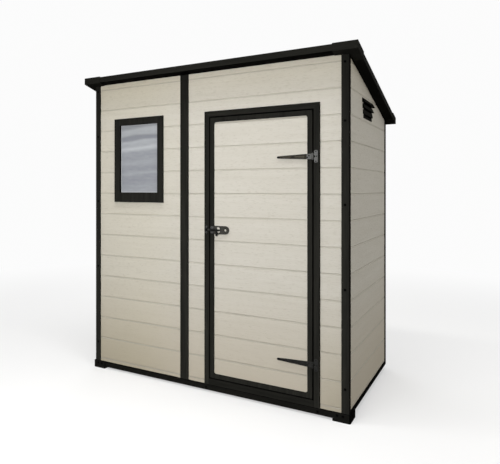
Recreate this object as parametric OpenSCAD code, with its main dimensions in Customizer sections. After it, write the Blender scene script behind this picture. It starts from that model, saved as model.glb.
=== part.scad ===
// Resin pent shed: twin-wall board walls held by corner posts, on a ribbed floor, under a
// single-slope roof. Front faces -Y, +X is to the right when facing the door, ground is z = 0.

/* [Overall] */
// Width of the walls over the corner posts
wall_w = 1741; // [1600:1:2400]
// Depth of the walls over the corner posts
wall_d = 996; // [800:1:1600]
// Height of the roof's front edge above the ground
roof_h = 1994; // [1900:1:2500]
// Fall of the roof towards the back, in degrees
roof_slope = 14; // [8:0.5:18]

/* [Roof edge] */
// Overhang in front of the posts
over_front = 48; // [40:1:100]
// Overhang behind the posts
over_back = 48; // [40:1:120]
// Overhang beside the posts
over_side = 53; // [40:1:100]
// Thickness of the roof boards
deck_t = 30; // [20:1:40]
// Thickness of the edge trim's walls
trim_t = 4; // [3:0.5:6]
// Clearance between the roof boards and what holds them
trim_clear = 0.1; // [0.1:0.1:0.5]
// How far the front and side fascia reach below the roof boards
fascia_lip = 1; // [1:0.5:15]
// How far the back fascia reaches below the roof boards
fascia_back_lip = 2; // [1:1:40]
// Fall of the bevelled underside from the side fascia to the wall
soffit_fall = 1; // [0:0.5:20]
// Thickness of the underside below the boards at the front wall
soffit_t = 2; // [1:0.5:6]
// Width of the trim's lip on top of the boards
lip_w = 30; // [15:1:45]
// How far the corner caps stand proud of the trim
cap_proud = 3; // [1:0.5:5]
// Length of a corner cap along the front and back
cap_w = 78; // [60:1:120]
// Length of a front corner cap along the side, from the post's face
cap_front_d = 82; // [60:1:150]
// Length of a back corner cap along the side, from the post's face
cap_back_d = 45; // [40:1:120]

/* [Walls] */
// Thickness of the twin-wall boards
board_t = 20; // [16:1:26]
// Height of one board
board_pitch = 142; // [110:1:180]
// Height of the lowest groove above the ground
groove_z = 68.5; // [60:0.5:100]
// Width of the groove between boards
groove_w = 8; // [4:0.5:12]
// Depth of the groove between boards
groove_d = 2.5; // [1:0.5:4]
// Visible width of a corner post on the front and back
post_w = 42.5; // [40:0.5:70]
// How far a corner post laps over the ends of the side boards
post_side_lap = 3; // [1:0.5:30]
// How far the posts stand proud of the boards
post_proud = 5; // [2:0.5:8]
// Radius of a post's outer corner
post_r = 4; // [1:0.5:8]
// Width of the middle posts
mid_w = 61; // [45:0.5:80]
// Centre of the front middle post, from the left post's face
mid_x = 722.5; // [700:0.5:760]

/* [Base] */
// Gap between the front rail and the ground
rail_gap = 11; // [5:1:20]
// Height of the front rail
rail_h = 35.5; // [30:0.5:60]
// Height of the side and back rails
side_rail_h = 24; // [16:1:36]
// How much higher the side and back rails sit than the front rail
rail_lift = 21; // [0:1:40]
// How far the rails stand proud of the posts
rail_proud = 3; // [0:0.5:5]
// Thickness of the base rails
rail_t = 15; // [8:1:20]
// Bevel along the rails' outer edges
rail_bevel = 3; // [1:0.5:5]
// Length of a front foot along the front
foot_w = 88; // [70:1:140]
// Length of a front foot along the side
foot_d = 98; // [80:1:140]
// How far the front feet stand proud of the front rail
foot_proud = 6; // [1:0.5:8]
// How far the front feet stand proud of the side rails
foot_side_proud = 4; // [1:0.5:8]
// Size of the cut across a front foot's outer corner
foot_cut = 6; // [2:0.5:12]
// Width of a back foot, which stands under the floor
back_foot_w = 70; // [40:1:100]
// Distance of a back foot from the outer faces of its post
back_foot_in = 30; // [25:1:60]
// Thickness of the floor's deck
floor_t = 20; // [12:1:26]
// Thickness of the floor's ribs
floor_rib_t = 6; // [4:1:10]
// Number of ribs each way under each half of the floor
floor_ribs = 6; // [2:1:8]
// How far the outer ribs stand in from the edge of the floor
floor_rib_in = 30; // [10:1:60]
// How far the floor's top lies below the front boards' lower edge
floor_drop = 3; // [0:0.5:6]

/* [Door frame] */
// Width of the door frame over its face
frame_w = 715; // [650:0.5:800]
// Height of the top of the door frame above the ground
frame_top = 1704; // [1600:1:1900]
// Width of the frame's face
frame_face = 35; // [30:1:50]
// Height of the sill
sill_h = 38.5; // [30:0.5:60]
// How far the frame stands proud of the boards
frame_proud = 8; // [5:0.5:12]
// Bevel along the edges of the frame's face
frame_bevel = 2; // [1:0.5:4]
// How far the frame's face laps over the boards
frame_lap = 17; // [10:1:20]
// Thickness of the door stop
stop_t = 6; // [4:1:10]
// How far the door stop reaches into the opening
stop_w = 17; // [12:1:24]

/* [Door] */
// Gap round the door, also behind it at the stop
door_gap = 6; // [5:0.5:10]
// Thickness of the door
door_t = 28; // [24:1:36]
// Width of the door's rim
rim_w = 28; // [20:1:40]
// Thickness of the rim's lip over the panel
rim_lip_t = 3; // [2:0.5:5]
// Thickness of the rim's edge wall
rim_edge_t = 8; // [5:1:12]
// Radius of the rim's inner corners
rim_r = 12; // [4:1:20]

/* [Window] */
// Width of the window frame
window_w = 395; // [300:1:440]
// Height of the window frame
window_h = 559; // [400:1:700]
// Width of the frame at its sides and top
window_face = 45; // [36:1:60]
// Height of the frame at the bottom
window_foot = 65; // [40:1:80]
// How far the frame stands proud of the boards
window_proud = 9; // [4:0.5:12]
// How far the frame laps over the boards
window_lap = 22; // [10:1:34]
// Distance of the pane behind the face of the boards
pane_in = 10; // [2:1:12]
// Thickness of the pane
pane_t = 4; // [3:0.5:6]
// Depth of the pane's bed round its edge
pane_bed = 8; // [4:1:12]

/* [Hinges] */
// Distance of the upper hinge's centre below the top of the door
hinge_top_in = 253; // [100:1:500]
// Distance of the lower hinge's centre above the bottom of the door
hinge_foot_in = 186; // [100:0.5:500]
// Radius of the hinge pin
pin_r = 3; // [2:0.5:5]
// Radial clearance round the hinge pin
pin_clear = 0.1; // [0.05:0.05:0.1]
// Wall of the hinge knuckles
knuckle_t = 3; // [2:0.5:4]
// Height of the strap's knuckle
knuckle_h = 14; // [10:1:20]
// Height of each of the butt's knuckles
butt_knuckle_h = 9; // [6:1:14]
// Gap between neighbouring knuckles
knuckle_gap = 0.5; // [0.3:0.1:1]
// Thickness of the hinge plates
hinge_t = 3; // [2:0.5:4]
// Distance of the hinge plates from the knuckles
hinge_plate_gap = 2; // [1:0.5:3]
// Length of the strap from the pin to its tip
strap_l = 206; // [150:1:300]
// Height of the strap's root plate
strap_root_h = 29; // [24:1:40]
// Length of the strap's root plate
strap_root_l = 36; // [26:1:50]
// Height of the taper where it leaves the root plate
strap_neck_h = 28; // [16:1:30]
// Height of the strap at its tip
strap_tip_h = 13; // [6:1:16]
// Width of the butt plate
butt_w = 20; // [18:1:26]
// Height of the butt plate
butt_h = 67; // [50:1:90]
// Radius of the butt plate's corners
butt_r = 6; // [2:0.5:8]

/* [Latch] */
// Height of the bolt above the ground
bolt_z = 986; // [800:1:1200]
// Radius of the bolt
bolt_r = 5; // [3:0.5:6]
// Radial clearance round the bolt in its guides
bolt_clear = 0.4; // [0.2:0.1:0.6]
// Clearance round the bolt in its keeper
keeper_clear = 0.8; // [0.4:0.1:1]
// Gap between the bolt and the plate behind it
bolt_lift = 1.5; // [1:0.5:3]
// How far the bolt is thrown
bolt_throw = 14; // [12:1:20]
// Gap between the drawn bolt and its keeper
bolt_gap = 5.5; // [5:0.5:8]
// Thickness of the latch's plates
latch_t = 3; // [2:0.5:4]
// Height of the latch plate
latch_h = 50; // [38:1:56]
// Length of the latch plate
latch_l = 125; // [115:1:160]
// Width of the guide on the plate
guide_w = 22; // [16:1:26]
// Width of the keeper's arch
keeper_w = 12; // [8:1:16]
// Width of the keeper's flanges
keeper_flange_w = 19; // [18:1:28]
// Distance of the keeper's arch from the edge of the door opening
keeper_in = 24; // [24:0.5:29]
// Distance of the latch plate from the edge of the door
plate_in = 4; // [2:0.5:8]
// Wall of the guide and the keeper round the bolt
guide_t = 3; // [2:0.5:4]
// Length of the lug below the bolt
lug_l = 38; // [30:1:50]
// Width of the lug
lug_w = 12; // [10:1:16]
// Thickness of the lug
lug_t = 4; // [3:0.5:6]
// Gap between the thrown bolt's lug and the guide
lug_gap = 1; // [1:0.5:3]
// Radius of the corners of the latch plate and its cut-out
latch_r = 3; // [1:0.5:5]
// Distance of the cut-out from the guide
latch_slot_in = 20.5; // [16:0.5:30]
// Width of the cut-out in the latch plate
latch_slot_w = 20; // [12:1:24]
// Height of the cut-out in the latch plate
latch_slot_h = 34; // [20:1:36]
// How far the drawn bolt reaches past the cut-out
bolt_tail = 2; // [0:0.5:6]
// Radius of the hole in the latch plate
latch_hole_r = 7; // [4:0.5:9]

/* [Vents] */
// Width of a vent's flange
vent_w = 218; // [150:1:240]
// Height of a vent
vent_h = 114; // [80:1:140]
// Distance of a vent's centre below the roof's top line
vent_drop = 168; // [165:1:400]
// Distance of a vent's centre behind the front posts' face
vent_y = 446; // [250:1:500]
// Number of louvres
louvres = 3; // [2:1:4]
// Fall of a louvre to its lip
louvre_fall = 26; // [12:1:28]
// How far the top louvre stands out from the flange
louvre_out = 15; // [12:1:24]
// How far the top louvre's closed ends stand out beyond the flange's ends
louvre_flare = 28; // [3:1:30]
// Thickness of a louvre
louvre_t = 3; // [2:0.5:4]
// Width of the vent's flange on the boards
vent_flange = 10; // [6:1:16]
// Thickness of the vent's flange and sleeve
vent_t = 3; // [2:0.5:4]

/* [Hidden] */
$fn = 48;

board_colour = "#d7d0c0";
trim_colour = "#26241f";
metal_colour = "#4a4b4c";
glass_colour = "#a5acb4";

// Plan: the roof outline is centred on the origin
front_y = -(wall_d + over_front + over_back) / 2 + over_front;
back_y = front_y + wall_d;
left_x = -wall_w / 2;
right_x = wall_w / 2;
board_y = front_y + post_proud;
inner_y = board_y + board_t;
post_in = post_proud + board_t;
post_side_w = post_in + post_side_lap;
far = wall_w + wall_d;

// Roof heights, measured down from the top line at a given y
function roof_z(y, drop = 0) = roof_h - (y - front_y + over_front) * tan(roof_slope) - drop;
deck_drop = trim_t;
deck_under = deck_drop + deck_t / cos(roof_slope);
fascia_h = deck_under + fascia_lip;
fascia_back_h = deck_under + fascia_back_lip;
soffit_drop = fascia_h + soffit_fall;
back_soffit_z = roof_z(back_y + over_back, fascia_back_h);
front_soffit_z = roof_z(front_y, deck_under + soffit_t);

// Base heights
rail_top = rail_gap + rail_h;
foot_h = rail_top;
side_rail_z = rail_gap + rail_lift;
side_rail_top = side_rail_z + side_rail_h;
floor_z = rail_top - floor_drop;
mid_core_w = 20;

// Door opening
door_x = (left_x + mid_x + mid_w / 2 + right_x - post_w) / 2;
open_w = frame_w - 2 * frame_face;
open_z0 = rail_top + sill_h;
open_z1 = frame_top - frame_face;
hole_w = frame_w - 2 * frame_lap;
hole_z1 = frame_top - frame_lap;
frame_y = board_y - frame_proud;
door_w = open_w - 2 * door_gap;
door_z0 = open_z0 + door_gap;
door_z1 = open_z1 - door_gap;
door_left = door_x - door_w / 2;
door_right = door_x + door_w / 2;
stop_y = frame_y + door_t + door_gap;

// Window
window_x = left_x + (post_w + mid_x - mid_w / 2) / 2;
window_z1 = frame_top;
window_z0 = window_z1 - window_h;
sleeve_w = window_w - 2 * window_lap;
sleeve_z0 = window_z0 + window_lap;
sleeve_z1 = window_z1 - window_lap;
window_y = board_y - window_proud;
pane_y = board_y + pane_in;

// Hinges: the pin stands in front of the gap beside the door
pin_x = door_right + door_gap / 2;
knuckle_r = pin_r + knuckle_t;
pin_y = frame_y - knuckle_r;
plate_start = knuckle_r + hinge_plate_gap;
hinge_upper_z = door_z1 - hinge_top_in;
hinge_lower_z = door_z0 + hinge_foot_in;

// Latch: places are measured from the door's latch edge
bolt_y = frame_y - latch_t - bolt_lift - bolt_r;
guide_r = bolt_r + bolt_clear + guide_t;
plate_x = door_left + plate_in;
keeper_x = door_x - open_w / 2 - keeper_in;
bolt_tip_x = keeper_x + keeper_w + bolt_gap;
lug_x = plate_x + guide_w + bolt_throw + lug_w / 2 + lug_gap;
slot_x = plate_x + guide_w + latch_slot_in;
bolt_end_x = slot_x + latch_slot_w + bolt_tail;

// Vents
vent_z = roof_z(front_y + vent_y, vent_drop);
vent_hole_w = vent_w - 2 * vent_flange;
vent_hole_h = vent_h - 2 * vent_flange;
louvre_pitch = vent_h / (louvres + 0.5);

// ---- helpers ----

// Extrudes a shape drawn in (y, z) along X
module along_x(x0, len) {
    translate([x0, 0, 0]) rotate([90, 0, 90]) linear_extrude(len) children();
}

// Extrudes a shape drawn in (x, z) along Y
module along_y(y0, len) {
    translate([0, y0 + len, 0]) rotate([90, 0, 0]) linear_extrude(len) children();
}

// Extrudes a shape drawn in (x, distance above the roof's top line) down the slope, with plumb ends
module down_slope(y0, y1) {
    spare = 300;
    intersection() {
        translate([0, y1 + spare, roof_z(y1 + spare)])
            rotate([90 - roof_slope, 0, 0])
                linear_extrude((y1 - y0 + 2 * spare) / cos(roof_slope)) children();
        translate([-far, y0, 0]) cube([2 * far, y1 - y0, 2 * roof_h]);
    }
}

// Everything below the roof's top line lowered by drop
module below_roof(drop) {
    along_x(-far, 2 * far)
        polygon([
            [front_y - far, 0], [back_y + far, 0],
            [back_y + far, roof_z(back_y + far, drop)], [front_y - far, roof_z(front_y - far, drop)]
        ]);
}

function arc(cx, cy, r, a0, a1, n = 6) =
    [for (i = [0 : n]) [cx + r * cos(a0 + (a1 - a0) * i / n), cy + r * sin(a0 + (a1 - a0) * i / n)]];

module rounded_rect(w, h, r) {
    polygon(concat(
        arc(w - r, h - r, r, 0, 90), arc(r, h - r, r, 90, 180),
        arc(r, r, r, 180, 270), arc(w - r, r, r, 270, 360)
    ));
}

// ---- walls ----

// Heights of the grooves that lie wholly between z0 and z1
function grooves(z0, z1) = [
    for (i = [0 : ceil((z1 - groove_z) / board_pitch)])
        let (z = groove_z + i * board_pitch)
            if (z - groove_w / 2 > z0 && z + groove_w / 2 < z1) z
];

// A grooved board wall facing -Y, with its face at y = 0
module board_wall(len, z0, z1) {
    along_x(0, len)
        polygon(concat(
            [[board_t, z0], [0, z0]],
            [for (z = grooves(z0, z1), p = [-1, 0, 1]) [p == 0 ? groove_d : 0, z + p * groove_w / 2]],
            [[0, z1], [board_t, z1]]
        ));
}

module wall_under_roof() {
    intersection() {
        children();
        below_roof(deck_under);
    }
}

module front_boards(x0, x1, z0, z1) {
    translate([x0, board_y, 0]) board_wall(x1 - x0, z0, z1);
}

module front_wall_window() {
    x0 = left_x + post_in;
    x1 = left_x + mid_x - mid_core_w / 2;
    color(board_colour) wall_under_roof()
        difference() {
            front_boards(x0, x1, rail_top, roof_h);
            translate([window_x - sleeve_w / 2, front_y, sleeve_z0])
                cube([sleeve_w, 2 * post_in, sleeve_z1 - sleeve_z0]);
        }
}

module front_wall_latch_side() {
    color(board_colour) wall_under_roof()
        front_boards(left_x + mid_x + mid_core_w / 2, door_x - hole_w / 2, rail_top, roof_h);
}

module front_wall_hinge_side() {
    color(board_colour) wall_under_roof()
        front_boards(door_x + hole_w / 2, right_x - post_in, rail_top, roof_h);
}

module front_wall_over_door() {
    color(board_colour) wall_under_roof()
        front_boards(door_x - hole_w / 2, door_x + hole_w / 2, hole_z1, roof_h);
}

// The right side wall, between the corner posts
module side_wall_right() {
    color(board_colour) wall_under_roof()
        difference() {
            translate([right_x - post_proud, front_y + post_in, 0]) rotate([0, 0, 90])
                board_wall(wall_d - 2 * post_in, side_rail_top, roof_h);
            translate([right_x, front_y + vent_y, vent_z])
                cube([4 * post_in, vent_hole_w, vent_hole_h], center = true);
        }
}

module side_wall_left() { mirror([1, 0, 0]) side_wall_right(); }

module back_boards(x0, x1) {
    color(board_colour) wall_under_roof()
        translate([x1, back_y - post_proud, 0]) rotate([0, 0, 180])
            board_wall(x1 - x0, side_rail_top, roof_h);
}

module back_wall_left() { back_boards(left_x + post_in, -mid_core_w / 2); }
module back_wall_right() { back_boards(mid_core_w / 2, right_x - post_in); }

// ---- posts ----

// Plan of a corner post: an L over the boards, with a core between their ends
function post_plan() = concat(
    arc(post_r, post_r, post_r, 180, 270),
    [
        [post_w, 0], [post_w, post_proud], [post_in, post_proud], [post_in, post_in],
        [post_proud, post_in], [post_proud, post_side_w], [0, post_side_w]
    ]
);

module corner_post(z0) {
    translate([0, 0, z0]) linear_extrude(roof_h) polygon(post_plan());
}

module post_front_left() {
    color(trim_colour) wall_under_roof()
        translate([left_x, front_y, 0]) corner_post(foot_h);
}

module post_back_left() {
    color(trim_colour) wall_under_roof()
        translate([left_x, back_y, 0]) mirror([0, 1, 0]) corner_post(side_rail_z);
}

module post_front_right() { mirror([1, 0, 0]) post_front_left(); }
module post_back_right() { mirror([1, 0, 0]) post_back_left(); }

// A middle post facing -Y, centred on x = 0, with its face at y = 0 and a core between the boards
module mid_post(z0) {
    bevel = post_proud / 2;
    translate([0, 0, z0]) linear_extrude(roof_h)
        polygon([
            [-mid_w / 2 + bevel, 0], [mid_w / 2 - bevel, 0], [mid_w / 2, bevel], [mid_w / 2, post_proud],
            [mid_core_w / 2, post_proud], [mid_core_w / 2, post_in],
            [-mid_core_w / 2, post_in], [-mid_core_w / 2, post_proud],
            [-mid_w / 2, post_proud], [-mid_w / 2, bevel]
        ]);
}

module mid_post_front() {
    color(trim_colour) wall_under_roof()
        translate([left_x + mid_x, front_y, 0]) mid_post(rail_top);
}

module mid_post_back() {
    color(trim_colour) wall_under_roof()
        translate([0, back_y, 0]) rotate([0, 0, 180]) mid_post(side_rail_top);
}

// ---- base ----

// A rail with its two outer edges bevelled, facing -Y
module rail(len, h) {
    along_x(0, len)
        polygon([
            [rail_bevel, 0], [rail_t, 0], [rail_t, h], [rail_bevel, h],
            [0, h - rail_bevel], [0, rail_bevel]
        ]);
}

module base_rail_front() {
    color(trim_colour)
        translate([left_x + foot_w, front_y - rail_proud, rail_gap])
            rail(wall_w - 2 * foot_w, rail_h);
}

module base_rail_back() {
    color(trim_colour)
        translate([right_x - post_w, back_y + rail_proud, side_rail_z]) rotate([0, 0, 180])
            rail(wall_w - 2 * post_w, side_rail_h);
}

module base_rail_right() {
    color(trim_colour)
        translate([right_x + rail_proud, front_y + post_side_w, side_rail_z]) rotate([0, 0, 90])
            rail(wall_d - 2 * post_side_w, side_rail_h);
}

module base_rail_left() { mirror([1, 0, 0]) base_rail_right(); }

// The front left foot: two arms round the corner, with the outer corner cut off
module front_foot() {
    out = rail_proud + foot_proud;
    side_out = rail_proud + foot_side_proud;
    translate([left_x, front_y, 0]) linear_extrude(foot_h)
        polygon([
            [foot_cut - side_out, -out], [foot_w, -out], [foot_w, post_in], [post_in, post_in],
            [post_in, foot_d], [-side_out, foot_d], [-side_out, foot_cut - out]
        ]);
}

// The back left foot: a pad set in under the floor
module back_foot() {
    translate([left_x + back_foot_in, back_y - back_foot_in - back_foot_w, 0])
        cube([back_foot_w, back_foot_w, floor_z - floor_t]);
}

module feet() {
    for (sx = [0, 1]) mirror([sx, 0, 0]) {
        front_foot();
        back_foot();
    }
}

module base_feet() {
    color(trim_colour) difference() {
        feet();
        base_rail_left();
        base_rail_right();
    }
}

// One half of the floor: a deck on a grid of ribs that stand on the ground
module floor_half() {
    inset = rail_t - rail_proud;
    w = wall_w / 2 - inset;
    d = wall_d - 2 * inset;
    rib_top = floor_z - floor_t / 2;
    pitch_x = (w - floor_rib_in - floor_rib_t) / (floor_ribs - 1);
    pitch_y = (d - 2 * floor_rib_in - floor_rib_t) / (floor_ribs - 1);
    color(trim_colour) difference() {
        translate([left_x + inset, front_y + inset, 0]) {
            translate([0, 0, floor_z - floor_t]) cube([w, d, floor_t]);
            translate([floor_rib_in, floor_rib_in, 0])
                for (i = [0 : floor_ribs - 1]) {
                    translate([i * pitch_x, 0, 0]) cube([floor_rib_t, d - 2 * floor_rib_in, rib_top]);
                    translate([0, i * pitch_y, 0]) cube([w - floor_rib_in, floor_rib_t, rib_top]);
                }
        }
        feet();
        translate([left_x, back_y - post_in, side_rail_z]) cube([post_in, post_in, floor_z]);
    }
}

module floor_left() { floor_half(); }
module floor_right() { mirror([1, 0, 0]) floor_half(); }

// ---- door frame ----

// The latch side's jamb: its face laps over the boards and a stop stands behind the door
module jamb() {
    x0 = door_x - frame_w / 2;
    web_x = door_x - hole_w / 2;
    open_x = door_x - open_w / 2;
    intersection() {
        translate([0, 0, rail_top]) linear_extrude(frame_top - rail_top)
            polygon([
                [x0 + frame_bevel, frame_y], [open_x - frame_bevel, frame_y],
                [open_x, frame_y + frame_bevel],
                [open_x, board_y], [x0, board_y], [x0, frame_y + frame_bevel]
            ]);
        along_y(frame_y, frame_proud)
            polygon([[x0, rail_top], [open_x, rail_top], [open_x, open_z1], [x0, frame_top]]);
    }
    translate([web_x, board_y, rail_top])
        cube([open_x - web_x, stop_y + stop_t - board_y, hole_z1 - rail_top]);
    translate([web_x, stop_y, open_z0])
        cube([open_x + stop_w - web_x, stop_t, open_z1 - open_z0]);
}

module door_jamb_latch() { color(trim_colour) jamb(); }

module door_jamb_hinge() {
    color(trim_colour) translate([2 * door_x, 0, 0]) mirror([1, 0, 0]) jamb();
}

// The head, mitred to the jambs on its face
module door_head() {
    x0 = door_x - frame_w / 2;
    x1 = door_x + frame_w / 2;
    open_x = door_x - open_w / 2;
    color(trim_colour) {
        intersection() {
            along_x(x0, frame_w)
                polygon([
                    [frame_y, open_z1 + frame_bevel], [frame_y, frame_top - frame_bevel],
                    [frame_y + frame_bevel, frame_top], [board_y, frame_top], [board_y, open_z1],
                    [frame_y + frame_bevel, open_z1]
                ]);
            along_y(frame_y, frame_proud)
                polygon([[x0, frame_top], [open_x, open_z1], [open_x + open_w, open_z1], [x1, frame_top]]);
        }
        translate([open_x, board_y, open_z1]) cube([open_w, stop_y + stop_t - board_y, hole_z1 - open_z1]);
        translate([open_x + stop_w, stop_y, open_z1 - stop_w])
            cube([open_w - 2 * stop_w, stop_t, hole_z1 - open_z1 + stop_w]);
    }
}

module door_sill() {
    lip = 10;
    color(trim_colour) {
        along_x(door_x - open_w / 2, open_w)
            polygon([
                [frame_y, rail_top], [stop_y + stop_t, rail_top], [stop_y + stop_t, open_z0],
                [frame_y + frame_bevel, open_z0], [frame_y, open_z0 - frame_bevel]
            ]);
        translate([door_x - open_w / 2 + stop_w, stop_y, open_z0 - lip])
            cube([open_w - 2 * stop_w, stop_t, 2 * lip]);
    }
}

// ---- window ----

// A plate facing -Y with an opening, from y0 to y1
module ring(x0, x1, z0, z1, y0, y1, side, foot_side) {
    difference() {
        translate([x0, y0, z0]) cube([x1 - x0, y1 - y0, z1 - z0]);
        translate([x0 + side, y0 - 1, z0 + foot_side])
            cube([x1 - x0 - 2 * side, y1 - y0 + 2, z1 - z0 - side - foot_side]);
    }
}

// The frame's sleeve through the wall, whose walls stand side in from the opening
module window_sleeve(y0, y1, side) {
    ring(window_x - sleeve_w / 2, window_x + sleeve_w / 2, sleeve_z0, sleeve_z1,
        y0, y1, side, side + window_foot - window_face);
}

module window_frame() {
    lip_side = window_face - window_lap;
    color(trim_colour) {
        ring(window_x - window_w / 2, window_x + window_w / 2, window_z0, window_z1,
            window_y, board_y, window_face, window_foot);
        window_sleeve(board_y, pane_y, lip_side);
        window_sleeve(pane_y, inner_y, lip_side - pane_bed);
    }
}

module window_pane() {
    w = window_w - 2 * (window_face - pane_bed);
    z0 = window_z0 + window_foot - pane_bed;
    z1 = window_z1 - window_face + pane_bed;
    color(glass_colour)
        translate([window_x - w / 2, pane_y, z0]) cube([w, pane_t, z1 - z0]);
}

// ---- vents ----

// One louvre, a hood with closed ends; each is narrower and stands out less than the one above it
module louvre(i) {
    share = 1 - i / louvres;
    top = vent_h / 2 - i * louvre_pitch;
    lip = top - louvre_fall;
    out = vent_t + louvre_out * share;
    w = vent_w + 2 * louvre_flare * share;
    along_x(-w / 2, w)
        polygon([[0, top], [-vent_t, top], [-out, lip], [louvre_t - out, lip], [0, top - 2 * louvre_t]]);
    for (x = [-w / 2, w / 2 - vent_t])
        along_x(x, vent_t) polygon([[0, top], [-vent_t, top], [-out, lip], [0, lip]]);
}

// A vent facing -Y, centred on the origin
module vent() {
    rim = vent_flange + vent_t;
    color(trim_colour) {
        ring(-vent_w / 2, vent_w / 2, -vent_h / 2, vent_h / 2, -vent_t, 0, rim, rim);
        ring(-vent_hole_w / 2, vent_hole_w / 2, -vent_hole_h / 2, vent_hole_h / 2, -1, board_t,
            vent_t, vent_t);
        for (i = [0 : louvres - 1]) louvre(i);
    }
}

module vent_right() {
    translate([right_x - post_proud, front_y + vent_y, vent_z]) rotate([0, 0, 90]) vent();
}

module vent_left() { mirror([1, 0, 0]) vent_right(); }

// ---- roof ----

slope_c = cos(roof_slope);
edge_front_y = front_y - over_front;
edge_back_y = back_y + over_back;

// The left half of the roof boards, with grooves running down the slope
module roof_boards() {
    edge = trim_t + trim_clear;
    x0 = left_x - over_side + edge;
    z0 = -deck_drop * slope_c - trim_clear;
    under = -deck_drop * slope_c - deck_t + trim_clear;
    down_slope(edge_front_y + edge, edge_back_y - edge)
        polygon(concat(
            [[x0, under], [0, under], [0, z0]],
            [
                for (i = [1 : floor(-left_x / board_pitch)], p = [1, 0, -1])
                    [-i * board_pitch + p * groove_w / 2, z0 - (p == 0 ? groove_d : 0)]
            ],
            [[x0, z0]]
        ));
}

module roof_boards_left() { color(trim_colour) roof_boards(); }
module roof_boards_right() { color(trim_colour) mirror([1, 0, 0]) roof_boards(); }

// The space in which the roof boards lie
module deck_space() {
    down_slope(edge_front_y + trim_t, edge_back_y - trim_t)
        translate([left_x - over_side + trim_t, -deck_drop * slope_c - deck_t])
            square([wall_w + 2 * (over_side - trim_t), deck_t]);
}

module roof_trim_front() {
    y1 = edge_front_y + trim_t;
    y2 = y1 + lip_w;
    color(trim_colour) along_x(left_x + cap_w, wall_w - 2 * cap_w)
        polygon([
            [edge_front_y, roof_h], [edge_front_y, roof_h - fascia_h], [front_y, front_soffit_z],
            [front_y, roof_z(front_y, deck_under)],
            [y1, roof_z(y1, deck_under)], [y1, roof_z(y1, deck_drop)],
            [y2, roof_z(y2, deck_drop)], [y2, roof_z(y2)]
        ]);
}

module roof_trim_back() {
    y1 = edge_back_y - trim_t;
    y2 = y1 - lip_w;
    color(trim_colour) along_x(left_x + cap_w, wall_w - 2 * cap_w)
        polygon([
            [edge_back_y, roof_z(edge_back_y)], [edge_back_y, back_soffit_z], [back_y, back_soffit_z],
            [back_y, roof_z(back_y, deck_under)],
            [y1, roof_z(y1, deck_under)], [y1, roof_z(y1, deck_drop)],
            [y2, roof_z(y2, deck_drop)], [y2, roof_z(y2)]
        ]);
}

module roof_trim_right() {
    x1 = over_side - trim_t;
    x2 = x1 - lip_w;
    color(trim_colour) down_slope(front_y + cap_front_d, back_y - cap_back_d)
        translate([right_x, 0])
            polygon([
                [over_side, 0], [over_side, -fascia_h * slope_c], [0, -soffit_drop * slope_c],
                [-post_proud, -soffit_drop * slope_c], [-post_proud, -deck_under * slope_c],
                [x1, -deck_under * slope_c], [x1, -deck_drop * slope_c],
                [x2, -deck_drop * slope_c], [x2, 0]
            ]);
}

module roof_trim_left() { mirror([1, 0, 0]) roof_trim_right(); }

// The side run of a right corner cap, proud of the side trim; its inner edge reaches down by deep
module cap_side(y0, y1, x0, deep = 0) {
    side_under = -soffit_drop * slope_c - cap_proud;
    down_slope(y0, y1) translate([right_x, 0])
        polygon([
            [x0, cap_proud], [over_side + cap_proud, cap_proud],
            [over_side + cap_proud, -fascia_h * slope_c - cap_proud],
            [0, side_under], [x0, side_under - deep]
        ]);
}

module cap_front_right() {
    y0 = edge_front_y - cap_proud;
    intersection() {
        cap_side(y0, front_y, -cap_w, over_front);
        along_x(right_x - cap_w, far)
            polygon([
                [y0, roof_h + far], [y0, roof_h - fascia_h - cap_proud],
                [front_y, front_soffit_z - cap_proud], [front_y, roof_h + far]
            ]);
    }
    cap_side(front_y, front_y + cap_front_d, 0);
}

module cap_back_right() {
    y1 = edge_back_y + cap_proud;
    along_x(right_x - cap_w, cap_w + over_side + cap_proud)
        polygon([
            [back_y, back_soffit_z - cap_proud], [y1, back_soffit_z - cap_proud],
            [y1, roof_z(y1) + cap_proud], [back_y, roof_z(back_y) + cap_proud]
        ]);
    cap_side(back_y - cap_back_d, back_y, 0);
}

module roof_caps() {
    color(trim_colour) for (sx = [0, 1]) mirror([sx, 0, 0])
        difference() {
            union() {
                cap_front_right();
                cap_back_right();
            }
            deck_space();
        }
}

// ---- door ----

module door_rim() {
    lip_y = frame_y + rim_lip_t;
    back = frame_y + door_t;
    color(trim_colour) {
        difference() {
            translate([door_left, frame_y, door_z0]) cube([door_w, rim_lip_t, door_z1 - door_z0]);
            translate([door_left + rim_w, 0, door_z0 + rim_w]) along_y(frame_y - 1, rim_lip_t + 2)
                rounded_rect(door_w - 2 * rim_w, door_z1 - door_z0 - 2 * rim_w, rim_r);
        }
        ring(door_left, door_right, door_z0, door_z1, lip_y, back, rim_edge_t, rim_edge_t);
    }
}

module door_panel() {
    color(board_colour)
        translate([door_left + rim_edge_t, frame_y + rim_lip_t, 0])
            board_wall(door_w - 2 * rim_edge_t, door_z0 + rim_edge_t, door_z1 - rim_edge_t);
}

// ---- hinges ----

// A hinge plate drawn in (x, z) about the pin, flat on the frame's face
module hinge_plate() {
    along_y(knuckle_r - hinge_t, hinge_t) children();
}

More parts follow.
